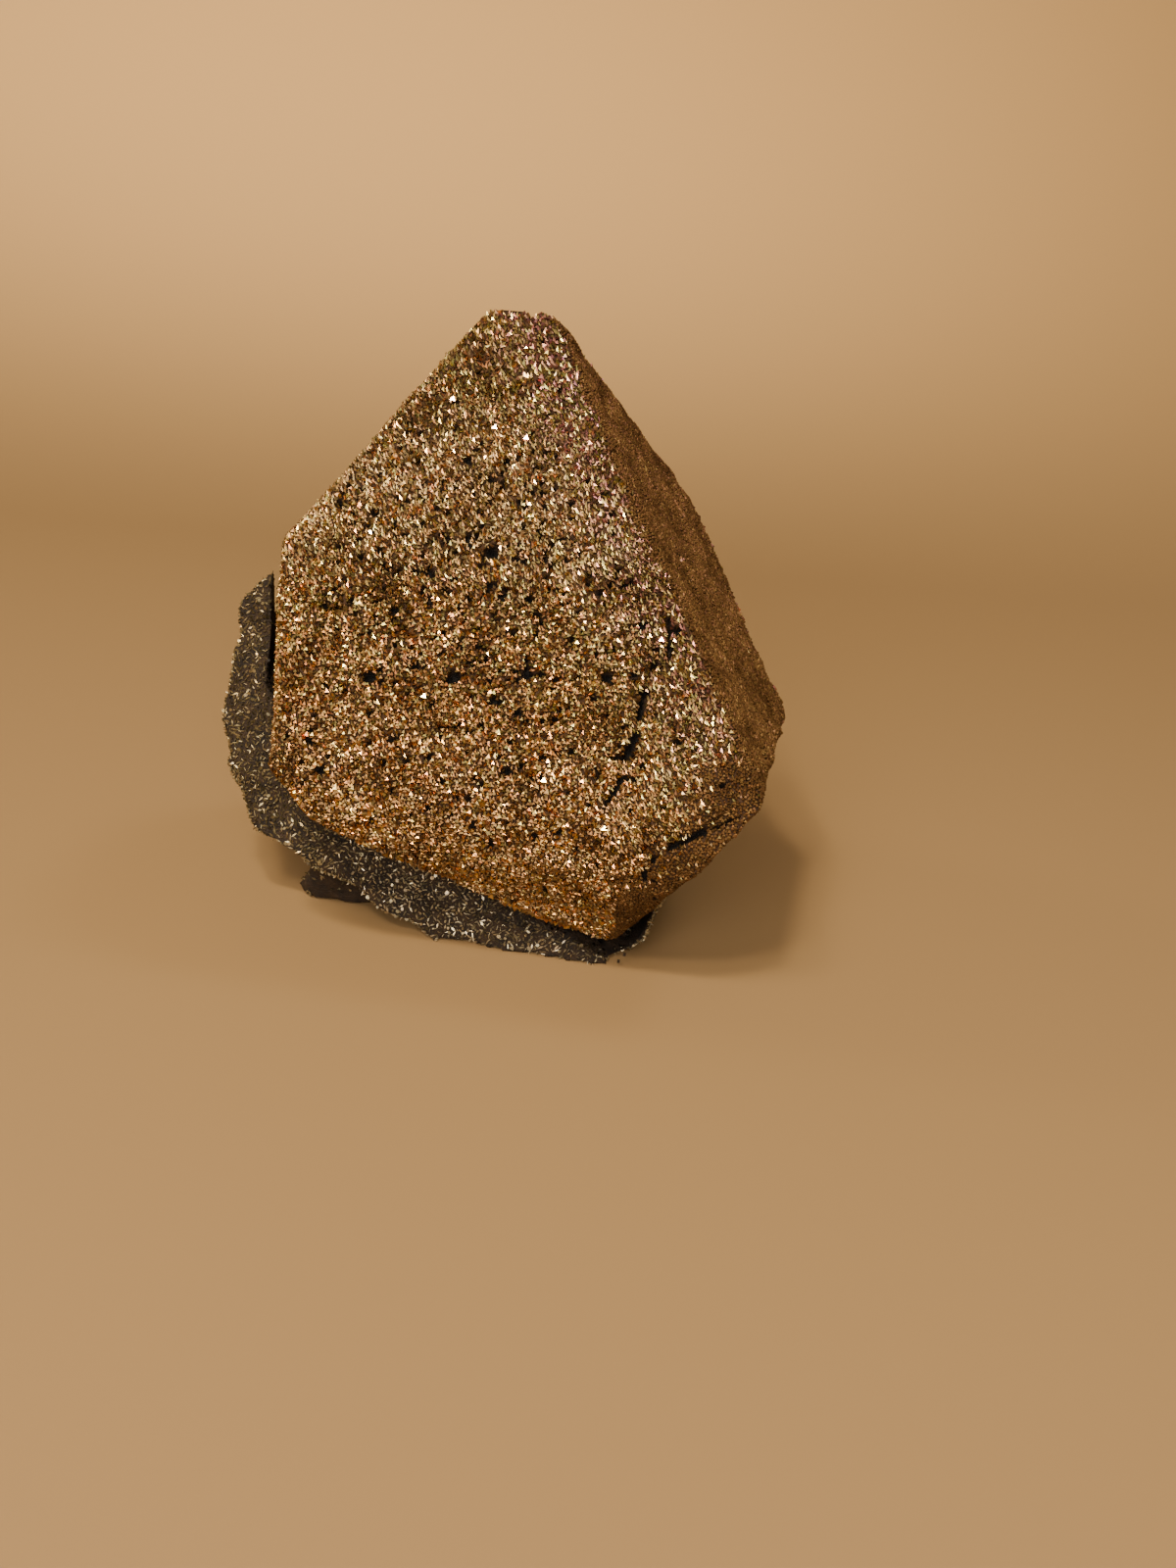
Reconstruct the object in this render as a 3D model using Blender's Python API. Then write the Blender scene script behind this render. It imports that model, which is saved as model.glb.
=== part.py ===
"""A pyrite octahedron on its hematite matrix.

The crystal is a flattened octahedron that leans back on the matrix. Its two largest faces, the front
and the seat behind it, are parallel, and the front overlooks a row of smaller faces at the foot. The
matrix is a broken lump that holds the crystal's seat, wraps its left and lower sides with a low rim,
and stands on a small flat spot. Metres, +Z up. The origin is the middle of the flat spot, and a
viewer who looks along +Y sees the crystal's front.
"""

import random
from math import asin, cos, pi, radians, sin, sqrt

import bmesh
import bpy
from mathutils import Matrix, Vector, noise

# The crystal
CENTRE = Vector((0.0, 0.003, 0.012))
TURN = radians(-8)
BLOCK = 0.12  # the side of the cube that the faces are cut from, far larger than the part
SLOPE = asin(1 / sqrt(3))
# Each face by its compass direction from the crystal's own, its slope, and its distance from the centre
CRYSTAL_FACES = {
    "front": (radians(-90), SLOPE, 0.01266),
    "right": (0, SLOPE, 0.01295),
    "back": (radians(90), SLOPE, 0.01266),
    "left": (radians(180), SLOPE, 0.01540),
    "foot": (radians(-90), -SLOPE, 0.01640),
    "lower_right": (0, -SLOPE, 0.01310),
    "seat": (radians(90), -SLOPE, 0.00050),
    "underside": (radians(159), radians(-64), 0.00455),
    "left_end": (radians(-165), 0, 0.01440),
    "left_heel": (radians(-150), radians(-35), 0.01490),
}
# Pairs of faces whose shared edge is rounded, the radius, and how many flats make the round
CRYSTAL_ROUNDS = (
    ("front", "foot", 0.0065, 4),
    ("front", "right", 0.0016, 3),
    ("front", "left", 0.0010, 2),
    ("front", "back", 0.0006, 1),
    ("left", "back", 0.0010, 1),
    ("right", "back", 0.0010, 1),
    ("foot", "lower_right", 0.0020, 2),
    ("right", "lower_right", 0.0009, 2),
    ("front", "left_end", 0.0010, 2),
    ("left", "left_end", 0.0010, 1),
    ("foot", "underside", 0.0008, 1),
)
CRYSTAL_SPARE = 0.00036  # how far the block starts outside its faces, because its relief goes inwards
CRYSTAL_VOXEL = 0.00036
CRYSTAL_TRIANGLES = 3000

# Relief of the crystal's skin, always inwards from the faces: depth and breadth
WAVE = (0.00028, 0.0060)
BUMP = (0.00024, 0.0013)
# Bent lines on the front face, as places across it and up its slope from its middle, and how far the
# skin lies below the flat of the face there. The growth step drops to its right, the ledge below it.
STEP_LINE = (
    (0.0087, 0.0028, 0.0), (0.0086, -0.0014, 0.0), (0.0087, -0.0045, 0.0),
    (0.0087, -0.0068, 0.0), (0.0080, -0.0078, 0.0), (0.0078, -0.0102, 0.00025),
)
STEP_SIDE = Vector((1.0, 0.15))
STEP_DROP, STEP_WIDTH = 0.00075, 0.0042
LEDGE_LINE = ((0.0156, -0.0082, 0.0), (0.0133, -0.0103, 0.00035), (0.0112, -0.0119, 0.00090))
LEDGE_SIDE = Vector((0.45, -0.89))
LEDGE_DROP, LEDGE_WIDTH = 0.00085, 0.0017
# Pits: a row of four on the front, two above it, and small ones all over
NAMED_PITS = (
    (-0.0062, -0.0049), (-0.0015, -0.0044), (0.0026, -0.0037), (0.0067, -0.0032),
    (-0.0006, 0.0032), (-0.0009, 0.0085),
)
NAMED_PIT_SIZE = 0.00062
LOOSE_PIT_COUNT = 48
LOOSE_PIT_SIZE = (0.00035, 0.00055)
PIT_SPACING = 0.0015
# Small crystals that stand on the crystal's edges
GRAIN_COUNT = 62
GRAIN_SIZE = (0.00035, 0.00060)
GRAIN_SPACING = 0.0017
CLEAR_OF_MATRIX = 0.0064  # how far in front of the centre the crystal's edges are in the open

# The matrix
MATRIX_FACES = {
    "rim": (radians(-90), radians(30.5), 0.0051),
    "left": (radians(180), 0, 0.0168),
    "upper_left": (radians(153), radians(33), 0.0135),
    "left_low": (radians(197), radians(-23), 0.0176),
    "lower_left": (radians(197), radians(-67), 0.0133),
    "right": (radians(-7), 0, 0.0114),
    "right_slope": (0, SLOPE, 0.0112),
    "upper_right": (radians(36), radians(8), 0.0114),
    "top": (radians(90), radians(50), 0.0114),
    "back_right": (radians(78), radians(12), 0.0118),
    "back_left": (radians(123), radians(5), 0.0126),
    "back_underside": (radians(88), radians(-45), 0.0116),
    "right_underside": (radians(3), radians(-55), 0.0143),
    "base": (0, radians(-90), 0.0140),
}
FLOOR = 0.0
SOCKET_GAP = 0.00032
MATRIX_SPARE = 0.00040  # how far the block starts outside its faces, because its relief goes inwards
MATRIX_VOXEL = 0.00050
MATRIX_TRIANGLES = 3100
MATRIX_WAVE = (0.00085, 0.0042)
MATRIX_BUMP = (0.00045, 0.0016)
LUMP_COUNT = 30
LUMP_RADIUS = (0.0014, 0.0029)
LUMP_SPACING = 0.0024
# The rear foot under the left side: its middle, its half lengths and its turn
FOOT_MIDDLE = Vector((-0.0088, -0.0034, 0.0010))
FOOT_HALF = Vector((0.0040, 0.0030, 0.0024))
FOOT_TURN = radians(18)
# Hexagonal hematite plates that stand in the rim
PLATE_COUNT = 34
PLATE_RADIUS = (0.0005, 0.0010)
PLATE_THICKNESS = 0.00032
PLATE_SPACING = 0.0026


def clear_scene():
    for obj in list(bpy.data.objects):
        bpy.data.objects.remove(obj)


def compass(azimuth, slope):
    return Vector((cos(azimuth) * cos(slope), sin(azimuth) * cos(slope), sin(slope)))


def planes_of(faces, rounds=(), grow=0.0):
    """Each face as (outward normal, distance from CENTRE), with flats that round the named edges."""
    planes = {name: (compass(turn + TURN, slope), far + grow) for name, (turn, slope, far) in faces.items()}
    flats = []
    for first, second, radius, count in rounds:
        (normal_a, far_a), (normal_b, far_b) = planes[first], planes[second]
        for i in range(1, count + 1):
            share = i / (count + 1)
            normal = normal_a.slerp(normal_b, share)
            axis = axis_of_round(normal_a, far_a - radius, normal_b, far_b - radius)
            flats.append((normal, axis.dot(normal) + radius))
    return list(planes.values()) + flats


def axis_of_round(normal_a, far_a, normal_b, far_b):
    """The point nearest the centre on the line where two planes meet."""
    across = normal_a.dot(normal_b)
    span = 1 - across * across
    return normal_a * ((far_a - far_b * across) / span) + normal_b * ((far_b - far_a * across) / span)


def solid_from_planes(name, planes):
    """A block with everything beyond each plane sliced off, as a crystal is bounded by its faces."""
    bm = bmesh.new()
    bmesh.ops.create_cube(bm, size=BLOCK, matrix=Matrix.Translation(CENTRE))
    for normal, far in planes:
        everything = bm.verts[:] + bm.edges[:] + bm.faces[:]
        cut = bmesh.ops.bisect_plane(
            bm, geom=everything, plane_co=CENTRE + normal * far, plane_no=normal, clear_outer=True
        )
        rim = [item for item in cut["geom_cut"] if isinstance(item, bmesh.types.BMEdge)]
        if rim:
            bmesh.ops.contextual_create(bm, geom=rim)
    bmesh.ops.recalc_face_normals(bm, faces=bm.faces[:])
    return object_from(bm, name)


def object_from(bm, name):
    mesh = bpy.data.meshes.new(name)
    bm.to_mesh(mesh)
    bm.free()
    obj = bpy.data.objects.new(name, mesh)
    bpy.context.scene.collection.objects.link(obj)
    return obj


def hide(obj):
    obj.hide_render = True
    obj.display_type = "WIRE"


def add_boolean(obj, other, operation):
    modifier = obj.modifiers.new(operation.title(), "BOOLEAN")
    modifier.operation = operation
    modifier.solver = "MANIFOLD"
    modifier.object = other
    hide(other)


def apply_modifiers(obj):
    """Replaces the mesh with the one its modifiers make."""
    bpy.context.view_layer.update()
    made = bpy.data.meshes.new_from_object(obj.evaluated_get(bpy.context.evaluated_depsgraph_get()))
    obj.modifiers.clear()
    obj.data = made


def remesh(obj, voxel):
    modifier = obj.modifiers.new("Remesh", "REMESH")
    modifier.mode = "VOXEL"
    modifier.voxel_size = voxel
    apply_modifiers(obj)


def decimate(obj, triangles):
    modifier = obj.modifiers.new("Decimate", "DECIMATE")
    modifier.ratio = triangles / (2 * len(obj.data.polygons))
    modifier.use_collapse_triangulate = True
    apply_modifiers(obj)


def move_skin(obj, depth_at):
    """Moves every vertex inwards along its normal by depth_at(place, normal)."""
    bm = bmesh.new()
    bm.from_mesh(obj.data)
    bm.normal_update()
    moves = [vert.normal * depth_at(vert.co, vert.normal) for vert in bm.verts]
    for vert, move in zip(bm.verts, moves):
        vert.co -= move
    bm.to_mesh(obj.data)
    bm.free()


def drop_crumbs(obj):
    """Deletes every loose bit that the cuts left, and keeps the largest body."""
    bm = bmesh.new()
    bm.from_mesh(obj.data)
    waiting, bodies = set(bm.verts), []
    while waiting:
        edge_of_body = [waiting.pop()]
        body = set(edge_of_body)
        while edge_of_body:
            vert = edge_of_body.pop()
            for other in (edge.other_vert(vert) for edge in vert.link_edges):
                if other in waiting:
                    waiting.discard(other)
                    body.add(other)
                    edge_of_body.append(other)
        bodies.append(body)
    bodies.sort(key=len)
    bmesh.ops.delete(bm, geom=[vert for body in bodies[:-1] for vert in body], context="VERTS")
    bm.to_mesh(obj.data)
    bm.free()


def front_axes():
    """The front face's outward, across and up-slope directions."""
    outward = compass(radians(-90) + TURN, SLOPE)
    across = Vector((cos(TURN), sin(TURN), 0))
    return outward, across, outward.cross(across)


def on_front(place, height=0.0):
    """The point at a place on the front face, lifted off the face by a height."""
    outward, across, up_slope = front_axes()
    far = CRYSTAL_FACES["front"][2] + CRYSTAL_SPARE + height
    return CENTRE + outward * far + across * place[0] + up_slope * place[1]


def crystal_depth(place, normal):
    """The crystal's skin waves gently under low bumps."""
    wave = WAVE[0] * (0.5 + 0.5 * noise.noise(place / WAVE[1]))
    return wave + BUMP[0] * min(1.0, noise.voronoi(place / BUMP[1])[0][0] * 1.3)


def step_cut(name, line, side, drop, width):
    """A wedge that lowers the skin beside a bent line: deep along the line, running out to one side."""
    clear = 0.0010
    bm = bmesh.new()
    rows = []
    for i, (across, up, skin) in enumerate(line):
        at_end = i in (0, len(line) - 1)
        floor = -skin + (clear / 4 if at_end else -drop)
        place = Vector((across, up))
        aside = place + side * width
        corners = (on_front(place, clear), on_front(place, floor), on_front(aside, clear / 4 - skin),
                   on_front(aside, clear))
        rows.append([bm.verts.new(corner) for corner in corners])
    for above, below in zip(rows, rows[1:]):
        for i in range(4):
            bm.faces.new((above[i], above[i - 1], below[i - 1], below[i]))
    bm.faces.new(rows[0])
    bm.faces.new(rows[-1])
    bmesh.ops.recalc_face_normals(bm, faces=bm.faces[:])
    bmesh.ops.triangulate(bm, faces=bm.faces[:])
    return object_from(bm, name)


def scattered_on(obj, count, keep, spacing, seed):
    """Places on an object's skin as (point, normal), where keep(point, normal), no closer than spacing."""
    draw = random.Random(seed)
    faces = obj.data.polygons
    chosen = []
    for _ in range(count * 60):
        face = faces[draw.randrange(len(faces))]
        point, normal = face.center.copy(), face.normal.copy()
        if keep(point, normal) and all((point - other).length > spacing for other, _ in chosen):
            chosen.append((point, normal))
        if len(chosen) == count:
            break
    return chosen


def random_turn(draw):
    return Matrix.Rotation(draw.uniform(0, 2 * pi), 4, "Z") @ Matrix.Rotation(draw.uniform(0, pi / 2), 4, "X")


def add_octahedron(bm, middle, size, turned):
    """A small eight-faced crystal, which a sphere of four segments and two rings is."""
    place = Matrix.Translation(middle) @ turned
    bmesh.ops.create_uvsphere(bm, u_segments=4, v_segments=2, radius=size, matrix=place)


def before_the_rim(point):
    """Whether a point is on the part of the crystal that stands clear of the matrix."""
    return (point - CENTRE).dot(front_axes()[0]) > CLEAR_OF_MATRIX


def edge_grains(crystal):
    """Small octahedra that stand on the crystal's edges, most of all on its ridge."""
    planes = [compass(turn + TURN, slope) for turn, slope, _ in CRYSTAL_FACES.values()]

    def on_an_edge(point, normal):
        return max(normal.dot(plane) for plane in planes) < 0.975 and before_the_rim(point)

    draw = random.Random(5)
    bm = bmesh.new()
    for point, normal in scattered_on(crystal, GRAIN_COUNT, on_an_edge, GRAIN_SPACING, 7):
        size = draw.uniform(*GRAIN_SIZE)
        add_octahedron(bm, point - normal * size * 0.68, size, random_turn(draw))
    return object_from(bm, "edge_grains")


def pit_cutters(crystal):
    """Octahedra sunk in the skin, which leave pits with flat sides."""
    draw = random.Random(13)
    bm = bmesh.new()
    skin = -(WAVE[0] + BUMP[0]) / 2
    named = [on_front(place, skin) for place in NAMED_PITS]
    for point in named:
        add_octahedron(bm, point, NAMED_PIT_SIZE, random_turn(draw))

    def clear_of_named(point, normal):
        return all((point - other).length > PIT_SPACING for other in named)

    for point, normal in scattered_on(crystal, LOOSE_PIT_COUNT, clear_of_named, PIT_SPACING, 17):
        size = draw.uniform(*LOOSE_PIT_SIZE)
        add_octahedron(bm, point + normal * size * 0.15, size, random_turn(draw))
    return object_from(bm, "pit_cutters")


def make_crystal():
    crystal = solid_from_planes("pyrite_crystal", planes_of(CRYSTAL_FACES, CRYSTAL_ROUNDS, CRYSTAL_SPARE))
    remesh(crystal, CRYSTAL_VOXEL)
    move_skin(crystal, crystal_depth)
    decimate(crystal, CRYSTAL_TRIANGLES)
    add_boolean(crystal, step_cut("growth_step", STEP_LINE, STEP_SIDE, STEP_DROP, STEP_WIDTH), "DIFFERENCE")
    add_boolean(crystal, step_cut("ledge", LEDGE_LINE, LEDGE_SIDE, LEDGE_DROP, LEDGE_WIDTH), "DIFFERENCE")
    apply_modifiers(crystal)
    add_boolean(crystal, pit_cutters(crystal), "DIFFERENCE")
    add_boolean(crystal, edge_grains(crystal), "UNION")
    apply_modifiers(crystal)
    drop_crumbs(crystal)
    return crystal


def add_lumps(bm, block):
    """Rounded lumps half sunk in the block's sides and back, where the matrix broke."""
    rim_normal = compass(radians(-90) + TURN, SLOPE)
    draw = random.Random(3)

    def off_the_rim(point, normal):
        return normal.dot(rim_normal) < 0.5 and normal.z > -0.8

    for point, normal in scattered_on(block, LUMP_COUNT, off_the_rim, LUMP_SPACING, 21):
        radius = draw.uniform(*LUMP_RADIUS)
        stretch = Matrix.Diagonal((draw.uniform(0.8, 1.3), draw.uniform(0.8, 1.3), draw.uniform(0.7, 1.0), 1))
        place = Matrix.Translation(point - normal * radius * 0.72) @ random_turn(draw) @ stretch
        bmesh.ops.create_icosphere(bm, subdivisions=2, radius=radius, matrix=place)


def add_foot(bm):
    turned = Matrix.Rotation(FOOT_TURN, 4, "Z") @ Matrix.Diagonal((*FOOT_HALF, 1))
    place = Matrix.Translation(FOOT_MIDDLE) @ turned
    bmesh.ops.create_icosphere(bm, subdivisions=3, radius=1, matrix=place)


def matrix_depth(place, normal):
    """Broken, lumpy relief, inwards only."""
    wave = MATRIX_WAVE[0] * abs(noise.noise(place / MATRIX_WAVE[1]))
    bump = MATRIX_BUMP[0] * min(1.0, noise.voronoi(place / MATRIX_BUMP[1])[0][0])
    return wave + bump


def rim_plates(matrix):
    """Thin six-sided plates that stand on edge in the rim and the sides of the matrix."""
    draw = random.Random(9)
    bm = bmesh.new()

    def in_sight(point, normal):
        return normal.z > -0.5 and point.z > 0.002

    for point, normal in scattered_on(matrix, PLATE_COUNT, in_sight, PLATE_SPACING, 31):
        radius = draw.uniform(*PLATE_RADIUS)
        tilt = Vector((draw.uniform(-1, 1), draw.uniform(-1, 1), draw.uniform(-1, 1)))
        on_edge = normal.cross(tilt).to_track_quat("Z", "X").to_matrix().to_4x4()
        bmesh.ops.create_cone(
            bm, cap_ends=True, segments=6, radius1=radius, radius2=radius, depth=PLATE_THICKNESS,
            matrix=Matrix.Translation(point - normal * radius * 0.45) @ on_edge,
        )
    return object_from(bm, "rim_plates")


def slab_below(height):
    """Everything below a height, as a cutter."""
    bm = bmesh.new()
    bmesh.ops.create_cube(bm, size=BLOCK, matrix=Matrix.Translation((0, 0, height - BLOCK / 2)))
    return object_from(bm, "floor_cut")


def make_matrix():
    block = solid_from_planes("hematite_matrix", planes_of(MATRIX_FACES, grow=MATRIX_SPARE))
    remesh(block, MATRIX_VOXEL)
    bm = bmesh.new()
    bm.from_mesh(block.data)
    add_lumps(bm, block)
    add_foot(bm)
    bm.to_mesh(block.data)
    bm.free()
    remesh(block, MATRIX_VOXEL)
    move_skin(block, matrix_depth)
    decimate(block, MATRIX_TRIANGLES)
    socket = solid_from_planes("socket_cut", planes_of(CRYSTAL_FACES, grow=CRYSTAL_SPARE + SOCKET_GAP))
    add_boolean(block, rim_plates(block), "UNION")
    add_boolean(block, socket, "DIFFERENCE")
    add_boolean(block, slab_below(FLOOR), "DIFFERENCE")
    apply_modifiers(block)
    drop_crumbs(block)
    return block


def finish(obj, name, colour, roughness, metallic):
    material = bpy.data.materials.new(name)
    material.use_nodes = True
    shader = material.node_tree.nodes["Principled BSDF"]
    shader.inputs["Base Color"].default_value = (*colour, 1)
    shader.inputs["Roughness"].default_value = roughness
    shader.inputs["Metallic"].default_value = metallic
    obj.data.materials.clear()
    obj.data.materials.append(material)


clear_scene()
finish(make_crystal(), "tarnished pyrite", (0.42, 0.27, 0.12), 0.38, 1.0)
finish(make_matrix(), "specular hematite", (0.11, 0.10, 0.09), 0.45, 0.6)
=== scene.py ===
# %% [markdown]
# # A pyrite crystal on hematite
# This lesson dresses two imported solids: an octahedral crystal of pyrite, and the lump of hematite that it grew
# on. From a metre away they are two plain forms. From a hand's breadth away every face turns out to be a crust
# of crystals a quarter of a millimetre across, and that crust is what gives the specimen its look. So the forms
# come from the solids, and nearly all the work here goes into planting tens of thousands of little crystals.

from math import asin, cos, exp, pi, radians, sin, sqrt

import bmesh
import bpy
import numpy as np
from mathutils import Matrix, Vector, kdtree, noise
from mathutils.bvhtree import BVHTree


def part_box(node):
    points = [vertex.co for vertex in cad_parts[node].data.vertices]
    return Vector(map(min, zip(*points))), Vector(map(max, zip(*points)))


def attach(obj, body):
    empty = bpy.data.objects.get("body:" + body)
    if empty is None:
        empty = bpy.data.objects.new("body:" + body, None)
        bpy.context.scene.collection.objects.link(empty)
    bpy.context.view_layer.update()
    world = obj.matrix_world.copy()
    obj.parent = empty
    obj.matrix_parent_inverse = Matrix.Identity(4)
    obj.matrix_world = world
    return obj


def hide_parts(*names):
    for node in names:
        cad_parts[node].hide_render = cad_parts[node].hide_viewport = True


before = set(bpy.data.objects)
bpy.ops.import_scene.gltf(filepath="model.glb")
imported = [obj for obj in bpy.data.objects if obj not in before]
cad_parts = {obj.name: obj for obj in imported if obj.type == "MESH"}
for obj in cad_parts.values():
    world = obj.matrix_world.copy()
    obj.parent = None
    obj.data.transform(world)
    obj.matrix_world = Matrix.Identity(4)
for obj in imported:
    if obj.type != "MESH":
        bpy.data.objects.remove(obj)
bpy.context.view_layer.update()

# %% [markdown]
# ## The crystal's own directions
# An octahedron's faces all lean by the same angle, whose sine is one over the square root of three. The whole
# crystal is turned a few degrees about the vertical. From those two numbers come the outward direction of each
# face, and three axes for the front: outward, across it, and up its slope. They are used again and again, to say
# which face a grain stands on and where on the front it is.

# %% Face directions
MM = 0.001
CENTRE = Vector((0.0, 0.003, 0.012))
TURN = radians(-8)
SLOPE = asin(1 / sqrt(3))


def compass(azimuth, slope):
    """The direction of a compass angle and a slope above the horizon."""
    return Vector((cos(azimuth) * cos(slope), sin(azimuth) * cos(slope), sin(slope)))


front_out = compass(radians(-90) + TURN, SLOPE)
right_out = compass(TURN, SLOPE)
lower_right_out = compass(TURN, -SLOPE)
front_across = Vector((cos(TURN), sin(TURN), 0))
front_up = front_out.cross(front_across)
print("front faces", [round(value, 3) for value in front_out])

# %% [markdown]
# ## The camera
# The picture was taken from close by, looking down by twenty degrees and held a few degrees off level, so near
# things look larger. A camera from that distance, with that lens and that tilt, gives the same outline.

# %% Camera
VIEW_DOWN, VIEW_ROLL = radians(19.9665), radians(4.601)
look = Vector((0, cos(VIEW_DOWN), -sin(VIEW_DOWN)))
level_right = Vector((1, 0, 0))
level_up = level_right.cross(look)
camera_right = cos(VIEW_ROLL) * level_right + sin(VIEW_ROLL) * level_up
camera_up = camera_right.cross(look)
camera_data = bpy.data.cameras.new("camera")
camera_data.sensor_width = 36
camera_data.lens = 42.19
camera_data.clip_start = 5 * MM
camera = bpy.data.objects.new("camera", camera_data)
axes = Matrix((camera_right, camera_up, -look)).transposed()
camera.matrix_world = Matrix.Translation((4.4 * MM, -104.12 * MM, 44.58 * MM)) @ axes.to_4x4()
bpy.context.scene.collection.objects.link(camera)
bpy.context.scene.camera = camera
print("camera at", [round(value, 4) for value in camera.location])

# %% [markdown]
# ## Colours and nodes
# Colours are written as the hex values a painter would pick, and one function turns them to the linear numbers
# that Blender's sockets hold. One more function adds any node with its settings and fills or links its sockets.

# %% Colour and node helpers


def colour(code):
    """Linear red, green, blue and alpha from an sRGB hex value."""
    parts = [int(code[i:i + 2], 16) / 255 for i in (1, 3, 5)]
    return (*[part / 12.92 if part <= 0.04045 else ((part + 0.055) / 1.055) ** 2.4 for part in parts], 1.0)


def add_node(tree, kind, inputs=None, stops=None, **settings):
    """A new node with its settings, its colour stops if it has any, and each input filled or linked."""
    made = tree.nodes.new(kind)
    for key, value in settings.items():
        setattr(made, key, value)
    for i, (place, code) in enumerate(stops or ()):
        band = made.color_ramp.elements
        stop = band[i] if i < len(band) else band.new(place)
        stop.position, stop.color = place, colour(code)
    for key, value in (inputs or {}).items():
        if isinstance(value, bpy.types.NodeSocket):
            tree.links.new(value, made.inputs[key])
        else:
            made.inputs[key].default_value = value
    return made


def new_material(name):
    """An empty metal or stone finish: its node tree and its Principled shader."""
    material = bpy.data.materials.new(name)
    material.use_nodes = True
    tree = material.node_tree
    return material, tree, tree.nodes["Principled BSDF"]


print("white is", colour("#ffffff"))

# %% [markdown]
# ## Pyrite
# Pyrite is an iron sulphide with the shine of a pale brass. In air its surface tarnishes to a film thinner than
# a wavelength of light, which tints it orange, pink, violet or green by its thickness. So the finish is a plain
# metal, with tints laid over each other: five bands up the front, a darker brown one towards its right edge, cloudy
# patches, and a step from each grain to the next, read from a number that every grain carries. The five bands hold
# the tarnish's hues, and their changes in brightness up the curved front, darkest at the top, are painted light and
# shade. The step runs through orange, gold, green, pink and violet, and starts further on towards the top and the
# right. A second number makes some grains glossy, and those show it most. A third darkens the grains in corners, as
# painted shade. Object coordinates are projected on the front's own axes, so the bands follow the crystal and not
# the room.

# %% Tarnished pyrite


def along(tree, axis, low, high):
    """How far a point is along a direction on the front, as 0 at low and 1 at high, both in millimetres."""
    place = add_node(tree, "ShaderNodeTexCoord").outputs["Object"]
    reach = add_node(tree, "ShaderNodeVectorMath", {0: place, 1: tuple(axis)}, operation="DOT_PRODUCT")
    start = CENTRE.dot(axis)
    return add_node(tree, "ShaderNodeMapRange", {
        "Value": reach.outputs["Value"], "From Min": start + low * MM, "From Max": start + high * MM,
    }, interpolation_type="SMOOTHSTEP").outputs["Result"]


def patches(tree, size, detail=2.0):
    """Cloudy patches of a size in millimetres, from 0 to 1."""
    place = add_node(tree, "ShaderNodeTexCoord").outputs["Object"]
    cloud = add_node(tree, "ShaderNodeTexNoise", {"Vector": place, "Scale": 1 / (size * MM), "Detail": detail})
    return add_node(tree, "ShaderNodeMapRange", {
        "Value": cloud.outputs["Fac"], "From Min": 0.35, "From Max": 0.65,
    }).outputs["Result"]


def product(tree, first, second):
    """Two numbers multiplied."""
    return add_node(tree, "ShaderNodeMath", {0: first, 1: second}, operation="MULTIPLY").outputs["Value"]


def tinted(tree, share, below, above, blend="MIX"):
    """One colour blended into another by a share from 0 to 1."""
    return add_node(
        tree, "ShaderNodeMix", {0: share, 6: below, 7: above}, data_type="RGBA", blend_type=blend
    ).outputs[2]


def pyrite_finish(name, bands, edge, roughness, grain_share):
    """A pyrite metal with five bands of colour up the front, partly painted light and shade, and its edge tint towards
    the right.
    """
    material, tree, shader = new_material(name)
    up = along(tree, front_up, -16, 14)
    right = along(tree, front_across + 0.5 * front_up, 3, 9)
    # The bands' hues are tarnish; their changes in brightness up the front are painted light and shade.
    drift = add_node(tree, "ShaderNodeValToRGB", {"Fac": up}, stops=zip((0.02, 0.25, 0.6, 0.85, 1.0), bands)).outputs["Color"]
    drift = tinted(tree, product(tree, right, patches(tree, 3.0)), drift, colour(edge))
    drift = tinted(tree, product(tree, patches(tree, 1.4, 4.0), 0.35), drift, colour("#8c6a44"))
    tone = add_node(tree, "ShaderNodeAttribute", attribute_name="tone").outputs["Fac"]
    zone = add_node(tree, "ShaderNodeMath", {0: product(tree, up, 0.22), 1: product(tree, right, 0.24)}, operation="ADD")
    place = add_node(tree, "ShaderNodeMath", {0: product(tree, tone, 0.50), 1: zone.outputs["Value"]}, operation="ADD")
    grain = add_node(tree, "ShaderNodeValToRGB", {"Fac": place.outputs["Value"]}, stops=(
        (0.0, "#b88a44"), (0.1, "#d89458"), (0.2, "#dcb060"), (0.3, "#e89c6c"), (0.42, "#eecc7c"), (0.56, "#ccca7c"),
        (0.7, "#f4c49c"), (0.84, "#f0a0a0"), (1.0, "#c088b4"),
    )).outputs["Color"]
    gloss = add_node(tree, "ShaderNodeAttribute", attribute_name="gloss").outputs["Fac"]
    share = add_node(tree, "ShaderNodeMapRange", {
        "Value": gloss, "From Min": 0.5, "From Max": 0.9, "To Min": 0.2 * grain_share, "To Max": grain_share,
    }).outputs["Result"]
    drift = tinted(tree, share, drift, grain)
    # Painted shade: grains that see little of the sky are darkened.
    open_air = add_node(tree, "ShaderNodeAttribute", attribute_name="open_air").outputs["Fac"]
    shade = add_node(tree, "ShaderNodeValToRGB", {"Fac": open_air}, stops=((0.55, "#2a1e14"), (0.92, "#ffffff")))
    drift = tinted(tree, 1.0, drift, shade.outputs["Color"], "MULTIPLY")
    drift = tinted(tree, product(tree, patches(tree, 2.6, 4.0), 0.60), drift, colour("#75624c"), "MULTIPLY")
    tree.links.new(drift, shader.inputs["Base Color"])
    shader.inputs["Metallic"].default_value = 1.0
    dull, bright = roughness
    rough = add_node(tree, "ShaderNodeMapRange", {
        "Value": gloss, "From Min": 0.6, "From Max": 0.97, "To Min": dull, "To Max": bright,
    }).outputs["Result"]
    tree.links.new(rough, shader.inputs["Roughness"])
    return material


# The bright fourth band and the near-black top band are painted light and shade as well as tint.
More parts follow.
